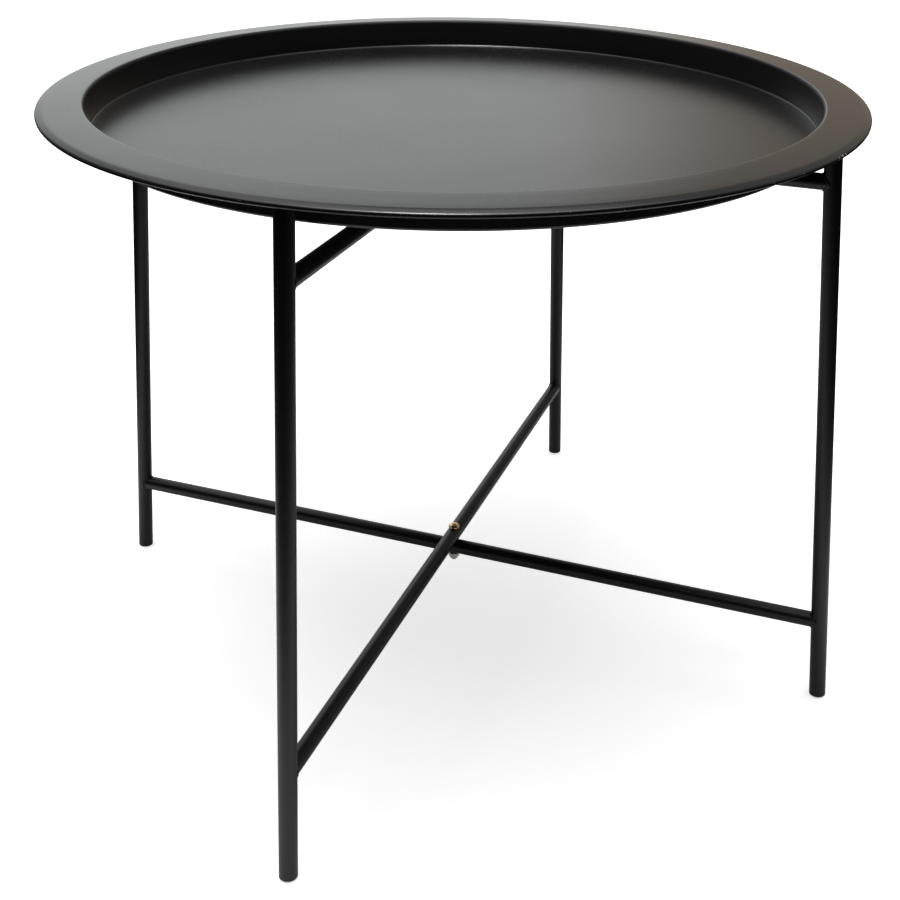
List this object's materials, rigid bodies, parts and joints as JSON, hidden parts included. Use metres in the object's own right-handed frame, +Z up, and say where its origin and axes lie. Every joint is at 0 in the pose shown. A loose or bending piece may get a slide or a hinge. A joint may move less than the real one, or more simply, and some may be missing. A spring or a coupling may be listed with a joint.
{
  "type": "folding side table",
  "caption": "Round pressed-metal tray table: a lift-off tray with a raised wall and wide rim rests on two crossed tube frames that swing together about a vertical axis to fold flat.",
  "frame": {"origin": "on the floor, on the vertical axis through both pivot bolts and the tray's centre", "axes": "+Z up; the front of the table is -Y, midway between the two front legs; +X to the right seen from the front"},
  "size_m": [0.6, 0.6, 0.4685],
  "materials": {
    "tray_coating": "satin black powder coat, fine texture",
    "frame_coating": "satin black powder coat",
    "weld_coating": "satin black powder coat over a weld bead",
    "foot_plastic": "moulded black plastic, scuffed tread",
    "cap_plastic": "moulded black plastic",
    "bolt_zinc": "yellow zinc-plated steel",
    "nut_zinc": "bright zinc-plated steel",
    "nut_nylon": "natural nylon locking ring"
  },
  "bodies": {
    "fixed_frame": {"leg_front_right": "frame_coating", "foot_front_right": "foot_plastic", "cap_front_right": "cap_plastic", "leg_back_left": "frame_coating", "foot_back_left": "foot_plastic", "cap_back_left": "cap_plastic", "crossbar_lower_fixed": "frame_coating", "weld_lower_fixed_front": "weld_coating", "weld_lower_fixed_back": "weld_coating", "crossbar_upper_fixed": "frame_coating", "weld_upper_fixed_front": "weld_coating", "weld_upper_fixed_back": "weld_coating", "pivot_bolts": "bolt_zinc", "lock_nuts": "nut_zinc", "nut_inserts": "nut_nylon"},
    "swing_frame": {"leg_front_left": "frame_coating", "foot_front_left": "foot_plastic", "cap_front_left": "cap_plastic", "leg_back_right": "frame_coating", "foot_back_right": "foot_plastic", "cap_back_right": "cap_plastic", "crossbar_lower_swing": "frame_coating", "weld_lower_swing_front": "weld_coating", "weld_lower_swing_back": "weld_coating", "crossbar_upper_swing": "frame_coating", "weld_upper_swing_front": "weld_coating", "weld_upper_swing_back": "weld_coating"},
    "tray": {"tray": "tray_coating"}
  },
  "joints": [
    {"name": "frame_fold", "type": "hinge", "parent": "fixed_frame", "child": "swing_frame", "pos_m": [0, 0, 0.0743], "axis": [0, 0, 1], "range_deg": [-86.5, 86.5]},
    {"name": "tray_lift", "type": "slide", "parent": "fixed_frame", "child": "tray", "axis": [0, 0, 1], "range_m": [0, 0.06]}
  ]
}
